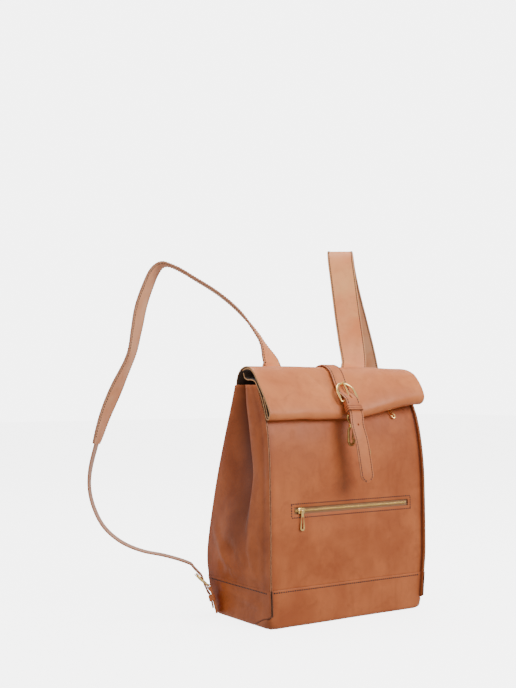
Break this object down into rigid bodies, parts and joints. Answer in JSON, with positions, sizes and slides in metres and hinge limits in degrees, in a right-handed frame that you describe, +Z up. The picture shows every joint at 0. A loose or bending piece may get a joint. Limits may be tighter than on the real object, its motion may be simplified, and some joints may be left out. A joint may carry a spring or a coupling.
{
  "type": "leather backpack",
  "caption": "Upright roll-top leather backpack with a buckled closure strap, snap hook, zipped front pockets and two looped shoulder straps.",
  "frame": {"origin": "middle of the underside of the base, on the surface that the bag stands on", "axes": "+Z up, -Y towards the bag's front (zip side), +Y towards the wearer's back, +X to the viewer's right from the front"},
  "size_m": [0.6092, 0.3101, 0.5997],
  "materials": {
    "tan_leather": "smooth vegetable-tanned cowhide, satin wax, brown stitching",
    "strap_leather": "smooth vegetable-tanned strap leather, painted edges, pale flesh side",
    "suede_flesh_side": "dark napped flesh side",
    "fibre_board": "pressed fibre board",
    "zip_tape": "woven herringbone tape",
    "pocket_lining": "plain cotton lining",
    "polished_brass": "polished",
    "antique_brass": "darkened, lightly worn"
  },
  "bodies": {
    "bag": {"front_panel": "tan_leather", "back_panel": "tan_leather", "gusset_left": "tan_leather", "gusset_right": "tan_leather", "front_band": "tan_leather", "back_band": "tan_leather", "side_band_left": "tan_leather", "side_band_right": "tan_leather", "base_panel": "tan_leather", "base_board": "fibre_board", "front_zip_tape_upper": "zip_tape", "front_zip_tape_lower": "zip_tape", "front_zip_chain": "polished_brass", "front_zip_pouch": "pocket_lining", "upper_zip_tape_upper": "zip_tape", "upper_zip_tape_lower": "zip_tape", "upper_zip_chain": "polished_brass", "upper_zip_pouch": "pocket_lining", "ring_tab": "tan_leather", "strap_left_sewn_end": "strap_leather", "strap_right_sewn_end": "strap_leather"},
    "front_slider": {"front_zip_slider": "polished_brass"},
    "front_pull": {"front_zip_pull": "polished_brass"},
    "upper_slider": {"upper_zip_slider": "polished_brass"},
    "upper_pull": {"upper_zip_pull": "polished_brass"},
    "roll": {"roll_back_sheet": "tan_leather", "roll_front_sheet": "suede_flesh_side", "closure_strap": "tan_leather", "closure_chape": "tan_leather", "closure_keeper": "tan_leather"},
    "closure_buckle": {"closure_buckle_frame": "polished_brass"},
    "closure_prong": {"closure_buckle_prong": "polished_brass"},
    "hook_swivel": {"snap_hook_swivel": "antique_brass"},
    "hook": {"snap_hook_body": "antique_brass"},
    "hook_gate": {"snap_hook_gate": "antique_brass"},
    "ring": {"closure_ring": "antique_brass"},
    "strap_left": {"shoulder_strap_left": "strap_leather", "lower_strap_left": "strap_leather", "strap_left_tab": "strap_leather", "strap_left_keeper": "strap_leather"},
    "buckle_left": {"strap_left_buckle_frame": "polished_brass"},
    "prong_left": {"strap_left_buckle_prong": "polished_brass"},
    "strap_right": {"shoulder_strap_right": "strap_leather", "lower_strap_right": "strap_leather", "strap_right_tab": "strap_leather", "strap_right_keeper": "strap_leather"},
    "buckle_right": {"strap_right_buckle_frame": "polished_brass"},
    "prong_right": {"strap_right_buckle_prong": "polished_brass"}
  },
  "joints": [
    {"name": "front_zip_run", "type": "slide", "parent": "bag", "child": "front_slider", "axis": [1, 0, 0], "range_m": [0, 0.2]},
    {"name": "front_pull_lift", "type": "hinge", "parent": "front_slider", "child": "front_pull", "pos_m": [-0.092, -0.0706, 0.172], "axis": [-1, 0, 0], "range_deg": [0, 170]},
    {"name": "upper_zip_run", "type": "slide", "parent": "bag", "child": "upper_slider", "axis": [-1, 0, 0], "range_m": [0, 0.19]},
    {"name": "upper_pull_lift", "type": "hinge", "parent": "upper_slider", "child": "upper_pull", "pos_m": [0.089, -0.04709, 0.33154], "axis": [-1, 0, 0], "range_deg": [0, 15]},
    {"name": "roll_open", "type": "hinge", "parent": "bag", "child": "roll", "pos_m": [0, 0.0235, 0.3665], "axis": [-1, 0, 0], "range_deg": [0, 30]},
    {"name": "closure_buckle_rock", "type": "hinge", "parent": "roll", "child": "closure_buckle", "pos_m": [0.002, -0.0691, 0.3356], "axis": [1, 0, 0], "range_deg": [0, 14]},
    {"name": "closure_prong_lift", "type": "hinge", "parent": "closure_buckle", "child": "closure_prong", "pos_m": [0.002, -0.0691, 0.3356], "axis": [1, 0, 0], "range_deg": [0, 20]},
    {"name": "hook_swing", "type": "hinge", "parent": "roll", "child": "hook_swivel", "pos_m": [-0.0055, -0.08063, 0.31377], "axis": [1, 0, 0], "range_deg": [-10, 8]},
    {"name": "hook_turn", "type": "hinge", "parent": "hook_swivel", "child": "hook", "pos_m": [-0.0055, -0.08063, 0.31377], "axis": [0, 0, 1], "continuous": true},
    {"name": "hook_gate_press", "type": "hinge", "parent": "hook", "child": "hook_gate", "pos_m": [-0.00316, -0.08063, 0.29257], "axis": [0, 1, 0], "range_deg": [0, 9], "stiffness_Nm_per_rad": 0.004, "springref_deg": -5.73},
    {"name": "ring_lift", "type": "hinge", "parent": "bag", "child": "ring", "pos_m": [0.034, -0.06632, 0.25845], "axis": [-1, 0, 0], "range_deg": [0, 80]},
    {"name": "strap_left_swing", "type": "hinge", "parent": "bag", "child": "strap_left", "pos_m": [-0.16, 0.0655, 0.004], "axis": [0.2292, -0.0941, 0.9688], "range_deg": [-4, 12]},
    {"name": "buckle_left_rock", "type": "hinge", "parent": "strap_left", "child": "buckle_left", "pos_m": [-0.1655, 0.077, 0.045], "axis": [-0.5089, -0.8442, 0.1685], "range_deg": [0, 12]},
    {"name": "prong_left_lift", "type": "hinge", "parent": "buckle_left", "child": "prong_left", "pos_m": [-0.1655, 0.077, 0.045], "axis": [-0.5089, -0.8442, 0.1685], "range_deg": [0, 35]},
    {"name": "strap_right_swing", "type": "hinge", "parent": "bag", "child": "strap_right", "pos_m": [0.16, 0.0655, 0.004], "axis": [0.1978, 0.0947, -0.9757], "range_deg": [-4, 6]},
    {"name": "buckle_right_rock", "type": "hinge", "parent": "strap_right", "child": "buckle_right", "pos_m": [0.1655, 0.077, 0.045], "axis": [-0.5089, 0.8442, -0.1685], "range_deg": [0, 12]},
    {"name": "prong_right_lift", "type": "hinge", "parent": "buckle_right", "child": "prong_right", "pos_m": [0.1655, 0.077, 0.045], "axis": [-0.5089, 0.8442, -0.1685], "range_deg": [0, 35]}
  ]
}
